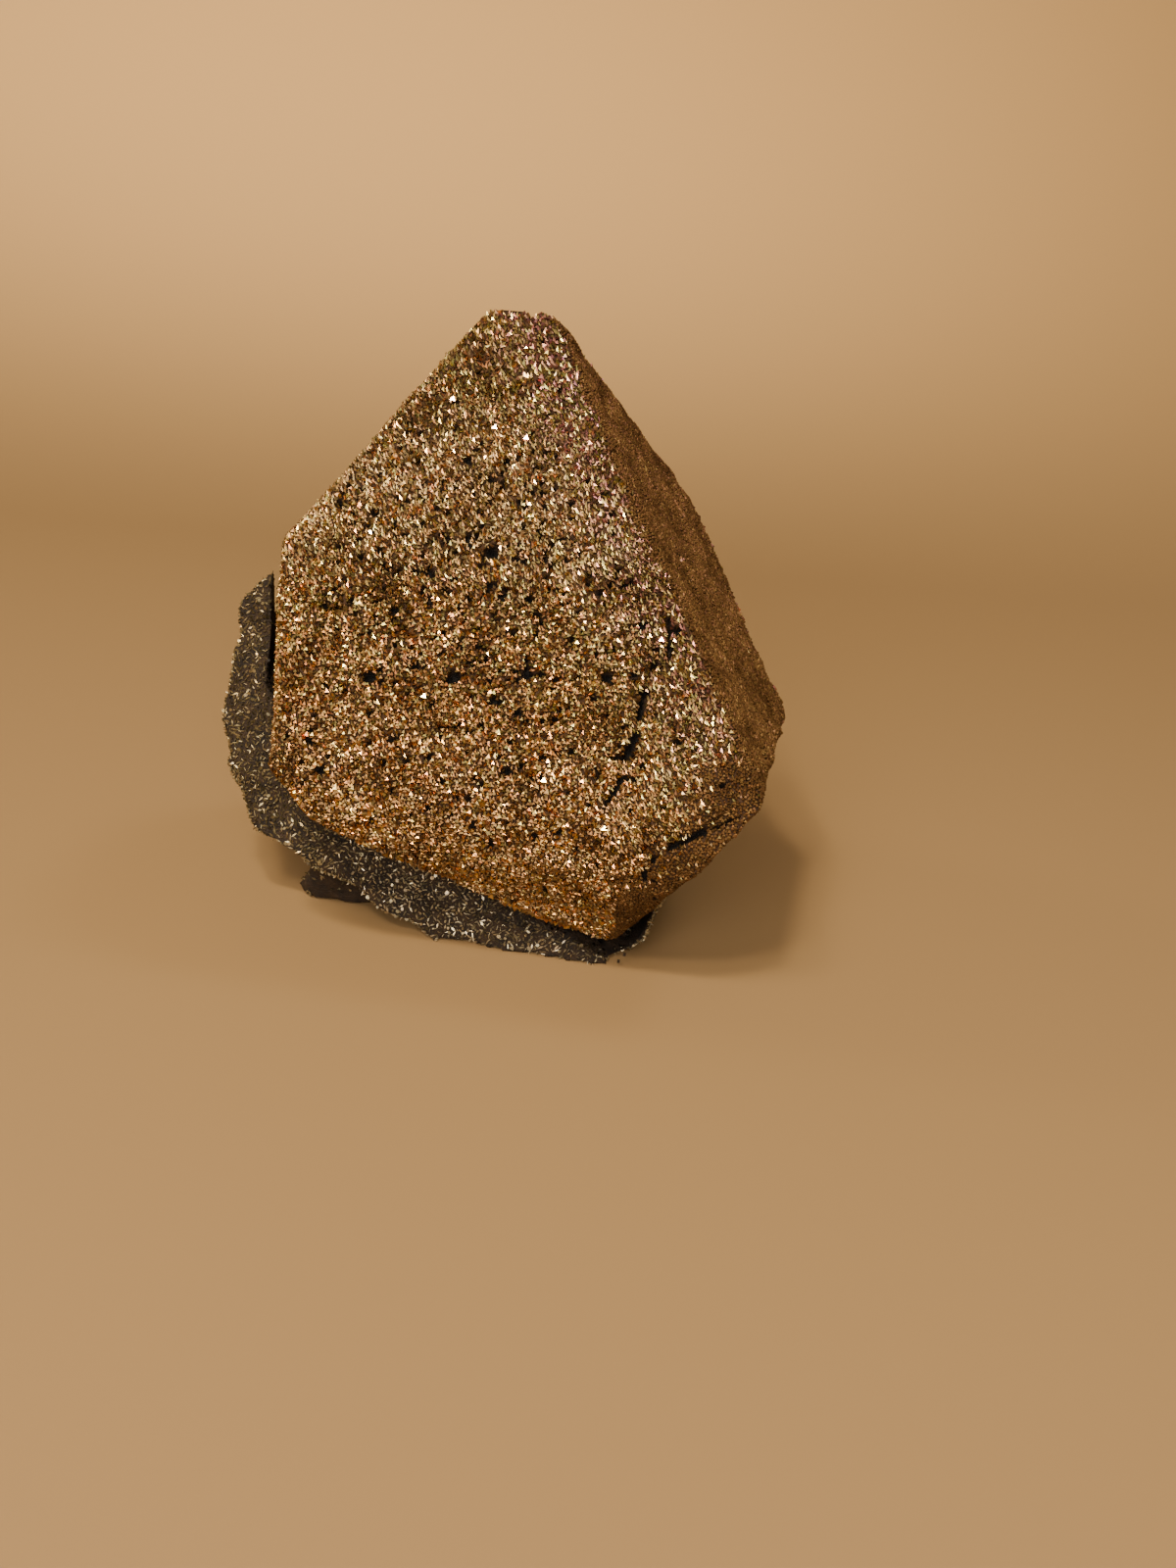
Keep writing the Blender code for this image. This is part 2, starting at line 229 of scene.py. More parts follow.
pyrite_bright = pyrite_finish(
    "tarnished pyrite", ("#7a6a50", "#584633", "#4c3e34", "#9a876a", "#241e1a"), "#34261f", (0.46, 0.13), 0.92
)
pyrite_fine = pyrite_finish(
    "fine-grained pyrite", ("#644a2e", "#6a4e30", "#6c5031", "#6e5233", "#6a4e30"), "#6e5233", (0.75, 0.60), 0.10
)
print("pyrite finishes", pyrite_bright.name, "and", pyrite_fine.name)

# %% [markdown]
# Between the grains the crust is in shadow and holds brown iron stain, so the skin below them is dark and dull.
# Inside a hollow it is painted black, as painted shade, by a number that the skin carries there.

# %% Dark pyrite between the grains


def dark_skin(name, dark, lighter, metallic, size):
    """A dull crust that shows in the gaps, with stains of a size in millimetres, and painted black shade in hollows.
    """
    material, tree, shader = new_material(name)
    stain_and_hollow_shade = tinted(tree, patches(tree, size, 5.0), colour(dark), colour(lighter))
    hollow = add_node(tree, "ShaderNodeAttribute", attribute_name="hollow").outputs["Fac"]
    # Painted shade: black where the hollow number is high.
    stain_and_hollow_shade = tinted(tree, hollow, stain_and_hollow_shade, colour("#060302"))
    tree.links.new(stain_and_hollow_shade, shader.inputs["Base Color"])
    shader.inputs["Metallic"].default_value = metallic
    shader.inputs["Roughness"].default_value = 0.75
    relief = add_node(tree, "ShaderNodeBump", {"Height": patches(tree, 0.12, 3.0), "Distance": 0.05 * MM})
    tree.links.new(relief.outputs["Normal"], shader.inputs["Normal"])
    return material


pyrite_gaps = dark_skin("stained pyrite", "#2f1d10", "#4c3624", 0.5, 0.8)
hematite_gaps = dark_skin("earthy hematite", "#140c06", "#342515", 0.2, 0.7)
print("skins", pyrite_gaps.name, "and", hematite_gaps.name)

# %% [markdown]
# ## Hematite
# Hematite that grows as thin plates is called specular: steel grey to black, and bright where a plate faces the
# light. Brown iron dust lies on much of it, and the colour is made a little darker towards the left. Each plate
# carries a number, and the colour runs from black steel through grey to a brown like dust with it. Plates that see
# little of the sky, near the seam under the crystal, are darkened as painted shade.

# %% Specular hematite
hematite_plates, tree, shader = new_material("specular hematite")
tone = add_node(tree, "ShaderNodeAttribute", attribute_name="tone").outputs["Fac"]
steel = add_node(tree, "ShaderNodeValToRGB", {"Fac": tone}, stops=(
    (0.0, "#5c5644"), (0.3, "#a09878"), (0.65, "#d8ceac"), (0.8, "#c4b086"), (1.0, "#fbf0d4"),
)).outputs["Color"]
dust_and_shade = tinted(tree, product(tree, patches(tree, 1.8, 4.0), 0.3), steel, colour("#a8977a"))
# Painted shade: plates that see little of the sky are darkened.
open_air = add_node(tree, "ShaderNodeAttribute", attribute_name="open_air").outputs["Fac"]
shade = add_node(tree, "ShaderNodeValToRGB", {"Fac": open_air}, stops=((0.5, "#2a2520"), (0.88, "#ffffff")))
dust_and_shade = tinted(tree, 1.0, dust_and_shade, shade.outputs["Color"], "MULTIPLY")
dust_and_shade = tinted(tree, product(tree, patches(tree, 1.2, 3.0), 0.55), dust_and_shade, colour("#786e58"), "MULTIPLY")
# Darker towards the left.
left_darkening = tinted(tree, along(tree, (1, 0, 0), -15, -5), colour("#ccc6b4"), colour("#ffffff"))
dust_and_shade = tinted(tree, 1.0, dust_and_shade, left_darkening, "MULTIPLY")
tree.links.new(dust_and_shade, shader.inputs["Base Color"])
shader.inputs["Metallic"].default_value = 0.7
rough = add_node(tree, "ShaderNodeMapRange", {"Value": patches(tree, 0.2), "To Min": 0.2, "To Max": 0.5})
tree.links.new(rough.outputs["Result"], shader.inputs["Roughness"])
print("hematite finish", hematite_plates.name)

# %% [markdown]
# ## An even skin under each solid
# The solids are decimated, so their triangles are of all sizes. A copy is merged, remeshed to even squares and
# drawn in by about half a grain. The grains then stand on it with their tips where the solid's surface was, and
# the dressed piece is no bigger than the solid.

# %% Skins


def skin_of(node, name, voxel, sink):
    """A closed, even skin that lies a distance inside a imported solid."""
    bm = bmesh.new()
    bm.from_mesh(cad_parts[node].data)
    bmesh.ops.remove_doubles(bm, verts=bm.verts[:], dist=0.001 * MM)
    rough_mesh = bpy.data.meshes.new(name)
    bm.to_mesh(rough_mesh)
    bm.free()
    skin = bpy.data.objects.new(name, rough_mesh)
    bpy.context.scene.collection.objects.link(skin)
    even = skin.modifiers.new("even squares", "REMESH")
    even.mode, even.voxel_size = "VOXEL", voxel
    bpy.context.view_layer.update()
    skin.data = bpy.data.meshes.new_from_object(skin.evaluated_get(bpy.context.evaluated_depsgraph_get()))
    skin.modifiers.clear()
    bm = bmesh.new()
    bm.from_mesh(skin.data)
    bmesh.ops.smooth_vert(bm, verts=bm.verts[:], factor=0.3, use_axis_x=True, use_axis_y=True, use_axis_z=True)
    bm.normal_update()
    lowest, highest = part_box(node)
    for vert in bm.verts:
        sunk = vert.co - vert.normal * sink
        vert.co = [min(max(value, low), high) for value, low, high in zip(sunk, lowest, highest)]
    bm.to_mesh(skin.data)
    bm.free()
    print(name, "has", len(skin.data.polygons), "squares")
    return skin


SKIN_SINK = 0.14 * MM
pyrite_skin = skin_of("pyrite_crystal", "pyrite_skin", 0.22 * MM, SKIN_SINK)
hematite_skin = skin_of("hematite_matrix", "hematite_skin", 0.30 * MM, SKIN_SINK)
pyrite_skin.data.materials.append(pyrite_gaps)
hematite_skin.data.materials.append(hematite_gaps)

# %% [markdown]
# ## Two knobs on the top
# The crystal doesn't end in a point. Two lumps of grains stand side by side there. The solid is one blunt end, so
# the skin is lowered between them, in a notch that runs from front to back.

# %% Notch
NOTCH_MIDDLE, NOTCH_WIDTH, NOTCH_FROM, NOTCH_DEPTH = -0.85, 0.28, 33.2, 0.35
lowered = 0
for vert in pyrite_skin.data.vertices:
    up = vert.co.z / MM - NOTCH_FROM
    if up > 0:
        near = exp(-(((vert.co.x / MM - NOTCH_MIDDLE) / NOTCH_WIDTH) ** 2))
        vert.co.z -= NOTCH_DEPTH * MM * min(1, up / 0.4) * near
        lowered += near > 0.1
print(lowered, "corners of the skin in the notch")

# %% [markdown]
# ## Hollows in the front
# The front has a row of four black pits, a fifth above them, a step that runs down near its right edge, and a
# slot at its lower right. Each is given by its place across the front and up its slope, and its radius, in
# millimetres. All over the front a few grains are missing here and there, which leaves black specks, and those
# places are random.
# The skin is pushed in at all of them, deepest in the middle, and is painted black there as shade; later no grains
# stand inside.

# %% Hollows
HOLLOWS = (
    (-6.1, -4.9, 0.48), (-5.4, -5.1, 0.22), (-1.5, -4.4, 0.48), (2.4, -3.7, 0.40), (3.2, -3.6, 0.25),
    (4.0, -3.8, 0.25), (6.7, -3.3, 0.45), (6.2, -4.6, 0.25), (-0.7, 3.0, 0.50), (-0.8, 8.5, 0.30),
    (4.3, -6.0, 0.28), (2.3, -9.2, 0.32), (5.5, -7.7, 0.25), (-3.7, -4.0, 0.28), (-5.4, -1.0, 0.34),
    (-3.9, 1.4, 0.26), (-4.8, 1.4, 0.24), (-3.6, -0.3, 0.22), (-5.1, -3.0, 0.20), (-7.3, -5.9, 0.22),
    (-4.2, -8.3, 0.28), (-3.2, -9.4, 0.26), (-7.8, -10.4, 0.34), (-0.4, -5.4, 0.22), (9.1, -2.3, 0.30),
    (10.1, -0.3, 0.34), (4.5, -1.4, 0.24), (11.0, -6.5, 0.28), (13.6, -8.5, 0.28), (10.1, -13.2, 0.30),
)
# Lines of hollows: the growth step, its foot, the slot at the lower right and two thin clefts
CLEFTS = (
    ((8.7, -4.0), (8.7, -5.4), 0.26), ((8.7, -6.3), (8.4, -7.3), 0.36), ((8.3, -7.6), (7.4, -7.8), 0.22),
    ((8.4, -8.8), (7.7, -10.2), 0.30), ((11.4, -11.8), (12.9, -11.0), 0.34), ((13.4, -10.8), (14.6, -10.1), 0.13),
    ((-1.0, -3.4), (0.5, -3.2), 0.10), ((-1.8, -7.3), (-0.6, -7.0), 0.18), ((9.5, 0.3), (9.9, -1.8), 0.20),
)


SPECK_COUNT = 600
SPECK_RADIUS = (0.09, 0.24)
# The right edge of the front is where the place across plus half the place up its slope comes to this
RIGHT_EDGE = 8.5


def hollow_list():
    """Every hollow as (across, up, radius) in metres, with the clefts as close rows and random black specks."""
    draw = np.random.default_rng(8)
    across, up = draw.uniform(-10, 13, SPECK_COUNT), draw.triangular(-16, 4, 17, SPECK_COUNT)
    specks = zip(across, up, draw.uniform(*SPECK_RADIUS, SPECK_COUNT))
    on_face = [speck for speck in specks if speck[0] + 0.5 * speck[1] < RIGHT_EDGE]
    found = [tuple(value * MM for value in hollow) for hollow in (*HOLLOWS, *on_face)]
    for start, end, radius in CLEFTS:
        span = (Vector(end) - Vector(start)).length
        count = max(2, round(span / radius))
        for i in range(count + 1):
            place = Vector(start).lerp(Vector(end), i / count)
            sway = noise.noise(Vector((place.x, place.y, 0.5)) * 1.7)
            found.append((place.x * MM, (place.y + 0.15 * sway) * MM, radius * (0.85 + 0.35 * sway) * MM))
    return found


def front_places(points):
    """Points as places across the front, up its slope and out from the crystal's middle."""
    return (points - np.array(CENTRE)) @ np.array((front_across, front_up, front_out)).T


def hollow_reach(points):
    """How deep in a hollow each point is: 1 at a hollow's middle, 0 at its edge or outside."""
    places = front_places(points)
    near_front = places[:, 2] > 8 * MM
    deepest = np.zeros(len(points))
    for across, up, radius in hollow_list():
        away = np.hypot(places[:, 0] - across, places[:, 1] - up) / radius
        deepest = np.maximum(deepest, np.where(near_front, 1 - away, 0))
    return deepest


def sink_hollows(skin, depth):
    """Pushes a skin in under every hollow."""
    places = np.empty(3 * len(skin.data.vertices))
    skin.data.vertices.foreach_get("co", places)
    places = places.reshape(-1, 3)
    reach = hollow_reach(places)
    push = depth * np.sqrt(reach)
    skin.data.vertices.foreach_set("co", (places - np.array(front_out) * push[:, None]).ravel())
    # The hollow number paints the skin black in the hollows and specks: painted shade.
    skin.data.attributes.new("hollow", "FLOAT", "POINT").data.foreach_set("value", np.minimum(1, 4 * reach))
    skin.data.update()
    return int((push > 0).sum())


print(sink_hollows(pyrite_skin, 0.55 * MM), "corners of the skin pushed in")

# %% [markdown]
# ## Where the grains stand
# Crystals in a crust crowd each other, so no two middles are closer than about one grain, yet there is no grid.
# That is a Poisson disk pattern. It is made by throwing far more points on the skin than are needed, going
# through them in a random order, and deleting every point too close to one that is kept. A tree of points finds
# those neighbours quickly.

# %% Spaced places on a skin


def skin_triangles(skin):
    """The corner places and corner normals of a skin's triangles, as two arrays."""
    mesh = skin.data
    mesh.calc_loop_triangles()
    places, normals = np.empty(3 * len(mesh.vertices)), np.empty(3 * len(mesh.vertices))
    mesh.vertices.foreach_get("co", places)
    mesh.vertices.foreach_get("normal", normals)
    corners = np.empty(3 * len(mesh.loop_triangles), np.int32)
    mesh.loop_triangles.foreach_get("vertices", corners)
    corners = corners.reshape(-1, 3)
    return places.reshape(-1, 3)[corners], normals.reshape(-1, 3)[corners]


def unit(rows):
    return rows / np.linalg.norm(rows, axis=1, keepdims=True)


def spaced_places(skin, spacing_of, seed):
    """Places and normals on a skin, each at least its own spacing from the others."""
    draw = np.random.default_rng(seed)
    places, normals = skin_triangles(skin)
    area = np.linalg.norm(np.cross(places[:, 1] - places[:, 0], places[:, 2] - places[:, 0]), axis=1) / 2
    wanted = area / spacing_of(unit(normals.mean(axis=1)), places.mean(axis=1)) ** 2
    chosen = draw.choice(len(area), int(5.5 * wanted.sum()), p=wanted / wanted.sum())
    share = draw.dirichlet((1, 1, 1), len(chosen))[:, :, None]
    points = (places[chosen] * share).sum(axis=1)
    facing = unit((normals[chosen] * share).sum(axis=1))
    spacing = spacing_of(facing, points)
    tree = kdtree.KDTree(len(points))
    for i, point in enumerate(points):
        tree.insert(point, i)
    tree.balance()
    waiting, kept = bytearray(b"\x01") * len(points), []
    for i, point in enumerate(points):
        if waiting[i]:
            kept.append(i)
            for _, near, _ in tree.find_range(point, spacing[i]):
                waiting[near] = 0
    return points[kept], facing[kept], spacing[kept]


print("the crystal's skin is", round(sum(face.area for face in pyrite_skin.data.polygons) / MM / MM), "mm2")

# %% [markdown]
# ## How open each place is
# A few places lie in pits, under the crystal, or in the seam between the two minerals. Short rays from each
# place show how much of the sky it sees. Where most rays are blocked no grain is planted, which leaves the pits
# and the seam dark, and near them the grains carry a darker tone, as painted shade for the light they miss.

# %% Openness of a place


def surface_tree(*skins):
    """One search tree over several skins."""
    places, corners = [], []
    for skin in skins:
        mesh = skin.data
        start = len(places)
        places += [vert.co.copy() for vert in mesh.vertices]
        corners += [[start + i for i in face.vertices] for face in mesh.polygons]
    return BVHTree.FromPolygons(places, corners)


def openness(points, facing, tree, reach):
    """The share of short rays from each point that meet nothing within reach."""
    fan = [(0, 0)] + [(35, 72 * i) for i in range(5)] + [(62, 72 * i + 36) for i in range(5)]
    fan = [compass(radians(around), radians(90 - tilt)) for tilt, around in fan]
    shares = []
    for point, normal in zip(points, facing):
        normal = Vector(normal)
        turned = normal.to_track_quat("Z", "X")
        start = Vector(point) + normal * 0.04 * MM
        free = [tree.ray_cast(start, turned @ ray, reach)[0] is None for ray in fan]
        shares.append(sum(free) / len(free))
    return np.array(shares)


both_skins = surface_tree(pyrite_skin, hematite_skin)
print("search tree over both skins is ready")

# %% [markdown]
# ## One grain
# Four shapes make up the crust: the octahedron of pyrite, one stretched along an edge as those on a growing face
# are, and the six-sided plate and the narrow blade of hematite. Each is a Blender primitive, read once into two
# small arrays. A grain is a few pixels wide in the picture, so eight to twenty triangles are all it needs.

# %% Grain shapes


def grain_shape(make, **settings):
    """Corners and triangles of a small closed shape that a bmesh operator makes."""
    bm = bmesh.new()
    make(bm, **settings)
    bmesh.ops.recalc_face_normals(bm, faces=bm.faces[:])
    bmesh.ops.triangulate(bm, faces=bm.faces[:])
    bm.verts.index_update()
    corners = np.array([vert.co[:] for vert in bm.verts])
    triangles = np.array([[vert.index for vert in face.verts] for face in bm.faces])
    bm.free()
    return corners, triangles


octahedron = grain_shape(bmesh.ops.create_uvsphere, u_segments=4, v_segments=2, radius=1)
on_edge = Vector((0, 1, 1)).rotation_difference(Vector((1, 0, 0))).to_matrix().to_4x4()
stretch = on_edge.inverted() @ Matrix.Diagonal((1.7, 0.65, 0.65, 1)) @ on_edge
long_octahedron = grain_shape(bmesh.ops.create_uvsphere, u_segments=4, v_segments=2, radius=1, matrix=stretch)
plate = grain_shape(bmesh.ops.create_cone, cap_ends=True, segments=6, radius1=1, radius2=0.94, depth=0.24)
blade = grain_shape(bmesh.ops.create_cone, cap_ends=True, segments=4, radius1=1, radius2=0.9, depth=0.3)
print("triangles in a grain:", len(octahedron[1]), len(blade[1]), len(plate[1]))

# %% [markdown]
# ## Planting
# Small pyrite crystals on a big one mostly copy its lattice, so their faces lie nearly parallel and a whole
# field of them flashes at once. Each grain's turn is therefore the crystal's own, plus a small random lean, and
# some grains ignore it. All grains of one kind are joined in one mesh, because tens of thousands of objects
# would be slow, and each grain keeps its tone as a number on its corners.

# %% Turns and planting


def leaning(draw, base, lean, drift=0):
    """Turning matrices: the base turn, a random lean of a typical angle for each grain, and a slow drift."""
    axis = draw.normal(0, 1, (len(lean), 3)) * lean[:, None] + drift
    angle = np.linalg.norm(axis, axis=1)
    x, y, z = (axis / angle[:, None]).T
    none = np.zeros(len(lean))
    cross = np.stack([none, -z, y, z, none, -x, -y, x, none], axis=1).reshape(-1, 3, 3)
    angle = angle[:, None, None]
    return (np.eye(3) + np.sin(angle) * cross + (1 - np.cos(angle)) * (cross @ cross)) @ base


def plant(name, shape, points, turns, sizes, numbers, material, node):
    """One joined mesh with a copy of a shape at every point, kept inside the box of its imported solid."""
    corners, triangles = shape
    spread = np.einsum("nij,vj->nvi", turns * sizes[:, None, :], corners) + points[:, None, :]
    spread = np.clip(spread, *[np.array(corner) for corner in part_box(node)])
    firsts = np.arange(len(points)) * len(corners)
    mesh = bpy.data.meshes.new(name)
    faces = (triangles[None] + firsts[:, None, None]).reshape(-1, 3)
    mesh.from_pydata(spread.reshape(-1, 3).tolist(), [], faces.tolist())
    for key, values in numbers.items():
        layer = mesh.attributes.new(key, "FLOAT", "POINT")
        layer.data.foreach_set("value", np.repeat(values, len(corners)))
    mesh.materials.append(material)
    grains = bpy.data.objects.new(name, mesh)
    bpy.context.scene.collection.objects.link(grains)
    print(name, "has", len(points), "grains and", len(faces), "triangles")
    return grains


lattice = np.array(Matrix.Rotation(TURN + pi / 4, 3, "Z"))
print("the lattice is turned by", round(45 - 8, 1), "degrees")

# %% [markdown]
# ## The pyrite crust
# On the front the middles of the grains are about an eighth of a millimetre apart, a little more towards the top
# and in patches, and each grain reaches about to its neighbours' middles. So little of the skin below is left to
# see. The right face, the lower right one and the corner below the slot are dull, with finer grains. The edge of
# that zone wanders, and some of its grains on the front side still shine. Grains near each other lean the
# same way, which makes patches that are brighter or darker. The faces that the picture doesn't show have larger
# grains further apart, to save triangles.

# %% Pyrite grains
FRONT_SPACING, FINE_SPACING, REST_SPACING = 0.122 * MM, 0.13 * MM, 0.22 * MM


def pyrite_spacing(facing, points):
    """The spacing of grains on the face that each normal belongs to."""
    places = front_places(points)
    front = FRONT_SPACING * (1 + 0.15 * np.clip((places[:, 1] - 4 * MM) / (12 * MM), 0, 1))
    spacing = np.where(facing @ -np.array(look) > 0.15, front, REST_SPACING)
    patch = [noise.noise(Vector(point) / (2.5 * MM)) for point in points]
    spacing = spacing * (1.08 + 0.3 * np.array(patch))
    edge = np.array([noise.noise(Vector(point) / (1.1 * MM)) for point in points]) * 1.6 * MM
    edge += np.random.default_rng(6).normal(0, 0.5 * MM, len(points))
    across, up, out = places.T
    below_slot = (across > 8.5 * MM) & (up - 0.52 * across + edge < -18.2 * MM) & (out > 5 * MM)
    below_slot |= (across + edge > 12.4 * MM) & (up < -7 * MM) & (out > 5 * MM)
    turned = facing @ np.array(right_out) + edge / (20 * MM)
    fine = (turned > 0.80) | (facing @ np.array(lower_right_out) > 0.66) | below_slot
    return np.where(fine, FINE_SPACING, spacing)


points, facing, spacing = spaced_places(pyrite_skin, pyrite_spacing, 5)
free = openness(points, facing, both_skins, 1.2 * MM)
draw = np.random.default_rng(8)
stays = (free > 0.72) & (hollow_reach(points) < 0.12)
points, facing, spacing, free = points[stays], facing[stays], spacing[stays], free[stays]
fine = spacing == FINE_SPACING
radius = spacing * draw.uniform(0.80, 1.20, len(points)) * np.where(fine, 0.9, 1.0)
sizes = radius[:, None] * draw.uniform(0.75, 1.3, (len(points), 3))
own_way = draw.random(len(points)) < np.where(fine, 0.15, 0.35)
# Vector noise would start from the clock, and differ with each run, if it weren't given a number
noise.seed_set(1)
drift = np.array([noise.noise_vector(Vector(point) / (2.2 * MM)) for point in points]) * radians(13)
turns = leaning(draw, lattice, np.where(own_way, radians(60), radians(11)), drift)
points = points + facing * (SKIN_SINK - 0.62 * radius)[:, None]
tones, gloss = draw.random(len(points)), draw.random(len(points))
print(len(points), "pyrite grains,", int(fine.sum()), "of them fine")

# %% Pyrite pieces
on_front = facing @ -np.array(look) > 0.15
glinting = fine & (facing @ np.array(front_out) > 0.5) & (draw.random(len(points)) < 0.06)
fine &= ~glinting
places = front_places(points)
long = draw.random(len(points)) < np.where((places[:, 1] > 0) | (places[:, 0] > 8 * MM), 0.8, 0.3)
pyrite_grains = []
for name, chosen, shape, finish in (
    ("pyrite_grains_front", on_front & ~fine & ~long, octahedron, pyrite_bright),
    ("pyrite_grains_long", on_front & ~fine & long, long_octahedron, pyrite_bright),
    ("pyrite_grains_right", fine, octahedron, pyrite_fine),
    ("pyrite_grains_rest", ~on_front & ~fine, octahedron, pyrite_bright),
):
    pyrite_grains.append(plant(
        name, shape, points[chosen], turns[chosen], sizes[chosen],
        {"tone": tones[chosen], "gloss": gloss[chosen], "open_air": free[chosen]}, finish, "pyrite_crystal",
    ))

# %% [markdown]
# ## A few larger faces that flash
# Eight crystals on the front are nearly twice as large and happen to mirror a lamp straight to the eye. A mirror
# does that when it faces halfway between the lamp and the camera, so each is turned to face there.

# %% Flashing grains
GLINT_LAMPS = {"left": (-0.32, -0.45, 0.83), "right": (-0.17, -0.49, 0.85), "low": (-0.24, -0.66, 0.71)}
FLASH_LAMP = Vector(GLINT_LAMPS["right"]).normalized() * 0.26 + Vector((0, 0, 0.015))
FLASHES = ((-7.7, 3.4), (-4.5, 11.9), (0.1, 9.9), (-2.9, -5.7), (4.3, -9.5), (7.8, -11.5), (-1.8, 10.4), (9.3, -0.9))


def flash_turn(point):
    """The turn that makes one face of an octahedron face halfway between the small lamp and the camera."""
    halfway = (FLASH_LAMP - point).normalized() + (camera.location - point).normalized()
    return Vector((1, 1, 1)).rotation_difference(halfway).to_matrix()


flash_points = []
for across, up in FLASHES:
    start = CENTRE + front_across * across * MM + front_up * up * MM + front_out * 20 * MM
    flash_points.append(both_skins.ray_cast(start, -front_out)[0] + front_out * 0.06 * MM)
count = len(flash_points)
pyrite_grains.append(plant(
    "pyrite_flashes", octahedron, np.array(flash_points), np.array([flash_turn(point) for point in flash_points]),
    np.full((count, 3), 0.22 * MM), {"tone": np.ones(count), "gloss": np.ones(count), "open_air": np.ones(count)},
    pyrite_bright, "pyrite_crystal",
))

# %% [markdown]
# ## The hematite crust
# The plates stand at all angles, most of them steeply, like the pages of an open book. Most are narrow blades.
# They are closest in the rim before the crystal. The small rear foot is nearly bare: it is worn smooth and brown.

# %% Hematite plates


FOOT_MIDDLE, FOOT_HALF = np.array((-8.8, -3.4, 1.0)) * MM, np.array((4.0, 3.0, 2.4)) * MM


def hematite_spacing(facing, points):
    """Closer plates in the rim before the crystal, which is seen from near by, and sparser ones behind."""
    behind = np.clip((points[:, 1] + 0.5 * (points[:, 0] + 9 * MM)) / (10 * MM), 0, 1)
    return (0.17 + 0.10 * behind) * MM


points, facing, spacing = spaced_places(hematite_skin, hematite_spacing, 15)
free = openness(points, facing, both_skins, 2.6 * MM)
draw = np.random.default_rng(18)
on_foot = np.linalg.norm((points - FOOT_MIDDLE) / FOOT_HALF, axis=1) < 1.2
stays = (free > 0.4) & (facing[:, 2] > -0.97) & ~(on_foot & (draw.random(len(points)) < 0.9))
points, facing, spacing, free = points[stays], facing[stays], spacing[stays], free[stays]
narrow = draw.random(len(points)) < 0.75
radius = spacing * draw.uniform(0.7, 1.2, len(points)) * np.where(narrow, 1.1, 0.75)
sizes = radius[:, None] * np.column_stack((
    np.ones(len(points)), np.where(narrow, 0.34, 0.85), draw.uniform(0.5, 1.2, len(points)),
))
turns = leaning(draw, np.eye(3), np.full(len(points), radians(70)))
points = points + facing * (SKIN_SINK - 0.62 * radius)[:, None]
tones = draw.random(len(points))
hematite_grains = [
    plant(
        name, shape, points[chosen], turns[chosen], sizes[chosen],
        {"tone": tones[chosen], "open_air": free[chosen]}, hematite_plates, "hematite_matrix",
    )
    for name, shape, chosen in (("hematite_blades", blade, narrow), ("hematite_plates", plate, ~narrow))
]

# %% [markdown]
# ## What each piece stands for
# The skins and grains stand for the two imported solids, which stay in the scene, hidden. They all ride on the one
# body.

# %% Frame
for piece in [pyrite_skin, *pyrite_grains]:
    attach(piece, "root")
    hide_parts("pyrite_crystal")
for piece in [hematite_skin, *hematite_grains]:
    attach(piece, "root")
    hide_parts("hematite_matrix")

# %% [markdown]
# ## Floor and light
# A metal shows what is around it, so the surroundings matter as much as the finish. The floor is a wide round
# dish of warm pale paper that curves up behind the crystal, with no edge to see. One soft lamp stands above and
# to the left of the camera, where the crystal's front mirrors it to the eye. Three small ones beside it make the
# hard glints, because a small lamp in a small mirror is a point of light. A wide one before the crystal fills in,
# a small one near the floor lights the rim, two more stand to the sides and behind for the edges, and the last
# lights the paper behind.

# %% Floor
paper, tree, shader = new_material("warm pale paper")
shader.inputs["Base Color"].default_value = colour("#947850")
shader.inputs["Roughness"].default_value = 0.8
bm = bmesh.new()
FLAT_RADIUS, DISH_RADIUS, DISH_HEIGHT = 0.06, 0.45, 0.20
profile = [(0, 0), (FLAT_RADIUS, 0)]
for step in range(1, 21):
    rise = step / 20
    profile.append((FLAT_RADIUS + (DISH_RADIUS - FLAT_RADIUS) * rise, DISH_HEIGHT * rise ** 2.5))
line = [bm.verts.new((across, 0, up)) for across, up in profile]
edges = [bm.edges.new(pair) for pair in zip(line, line[1:])]
bmesh.ops.spin(
    bm, geom=line + edges, cent=(0, 0, 0), axis=(0, 0, 1), angle=2 * pi, steps=64, use_merge=True, use_duplicate=False
)
bmesh.ops.remove_doubles(bm, verts=bm.verts[:], dist=0.01 * MM)
bmesh.ops.recalc_face_normals(bm, faces=bm.faces[:])
for face in bm.faces:
    face.smooth = True
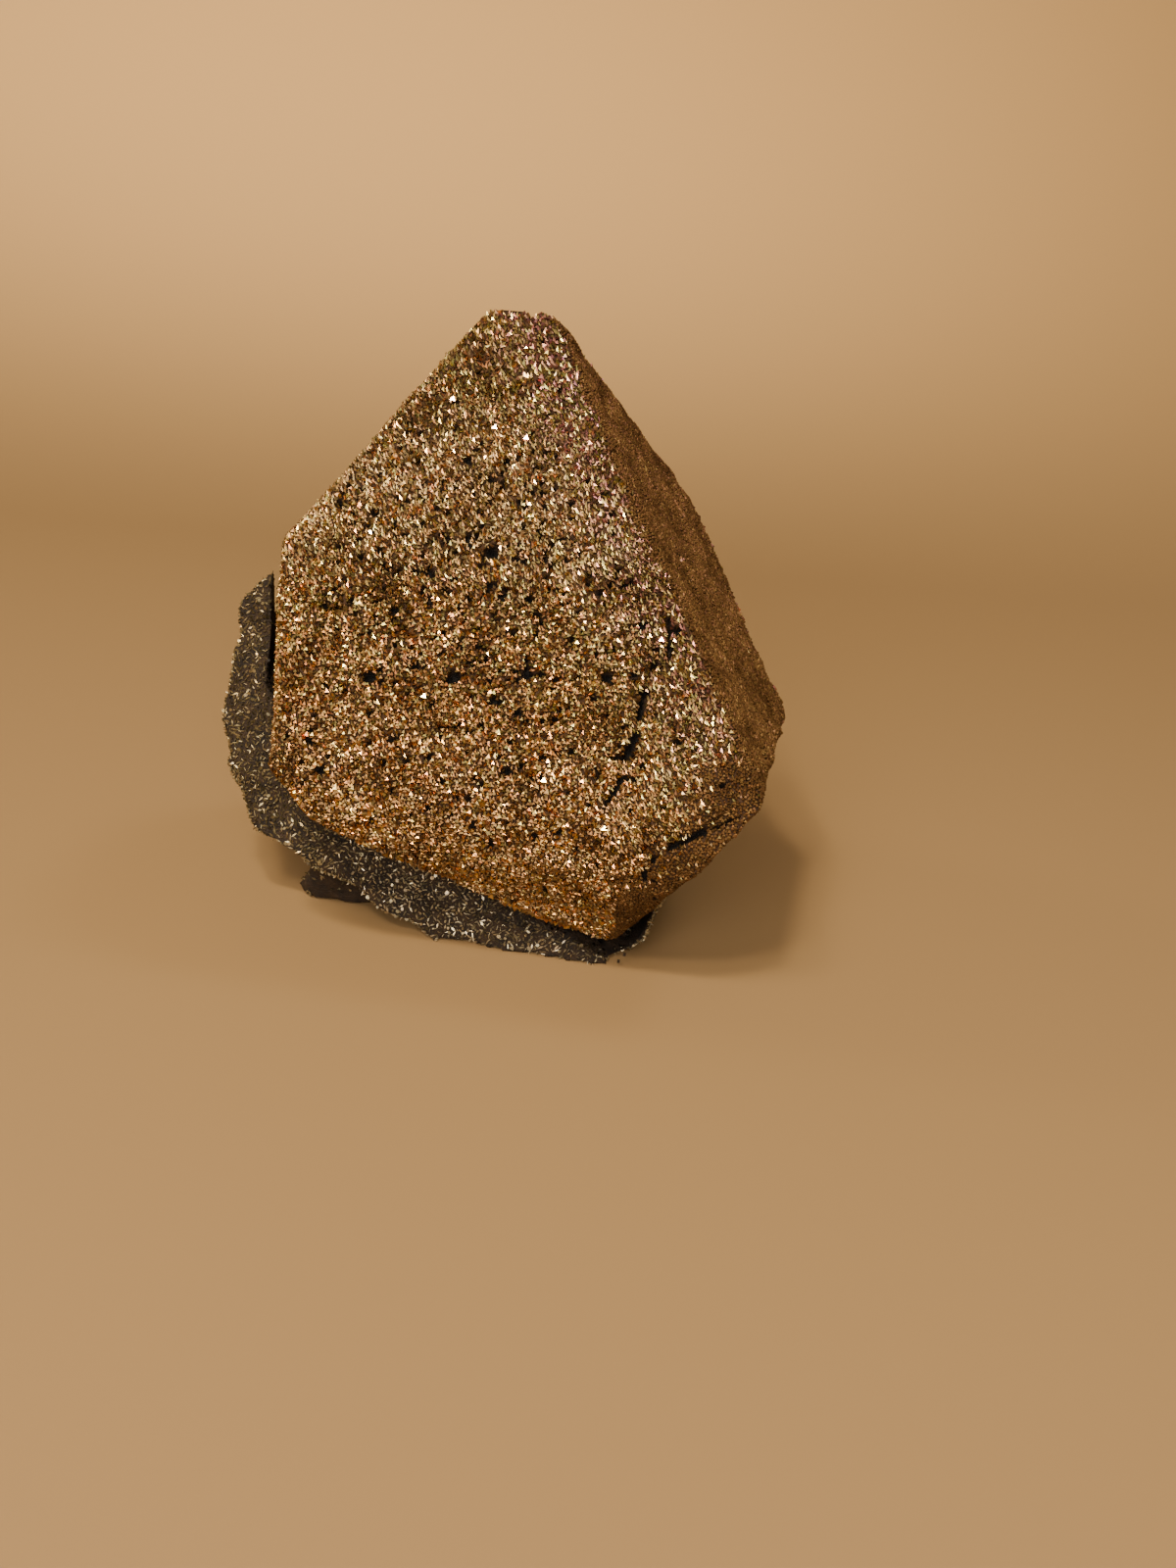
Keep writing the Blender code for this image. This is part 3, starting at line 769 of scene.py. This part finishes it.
floor_mesh = bpy.data.meshes.new("floor")
bm.to_mesh(floor_mesh)
bm.free()
floor_mesh.materials.append(paper)
floor = bpy.data.objects.new("floor", floor_mesh)
bpy.context.scene.collection.objects.link(floor)
print("floor reaches", round(max(vert.co.x for vert in floor_mesh.vertices), 2), "m out")

# %% Lamps


def add_lamp(name, towards, distance, size, power, code):
    """A square soft lamp in a direction from the crystal's middle, aimed back at it."""
    data = bpy.data.lights.new(name, "AREA")
    data.size, data.energy, data.color = size, power, colour(code)[:3]
    lamp = bpy.data.objects.new(name, data)
    aim = Vector((0, 0, 0.015))
    towards = Vector(towards).normalized()
    lamp.matrix_world = Matrix.Translation(aim + towards * distance) @ towards.to_track_quat("Z", "Y").to_matrix().to_4x4()
    lamp.visible_camera = False
    bpy.context.scene.collection.objects.link(lamp)
    return lamp


add_lamp("key", (-0.30, -0.50, 0.80), 0.28, 0.10, 0.19, "#ffeace")
for place, power in (("left", 0.12), ("right", 0.36), ("low", 0.25)):
    add_lamp("glints " + place, GLINT_LAMPS[place], 0.26, 0.025, power, "#ffe9ca")
add_lamp("low fill", (-0.1, -0.95, 0.20), 0.30, 0.22, 1.50, "#fff4e8")
add_lamp("rim glints", (0.02, -0.95, 0.06), 0.28, 0.03, 0.34, "#fff2dc")
add_lamp("edge", (0.46, 0.27, 0.84), 0.28, 0.06, 0.14, "#fff0dc")
add_lamp("left edge", (-0.85, 0.25, 0.45), 0.28, 0.06, 0.13, "#ffe2b8")
backdrop_lamp = add_lamp("backdrop", (0.0, 0.6, 0.8), 0.40, 0.20, 1.3, "#ffe6bc")
backdrop_lamp.matrix_world = Matrix.Translation((-0.05, 0.20, 0.20)) @ Matrix.Rotation(radians(60), 4, "X")
world = bpy.data.worlds.new("warm room")
world.use_nodes = True
world.node_tree.nodes["Background"].inputs["Color"].default_value = colour("#c4ab88")
world.node_tree.nodes["Background"].inputs["Strength"].default_value = 0.38
bpy.context.scene.world = world
print("lamps", [light.name for light in bpy.data.lights])
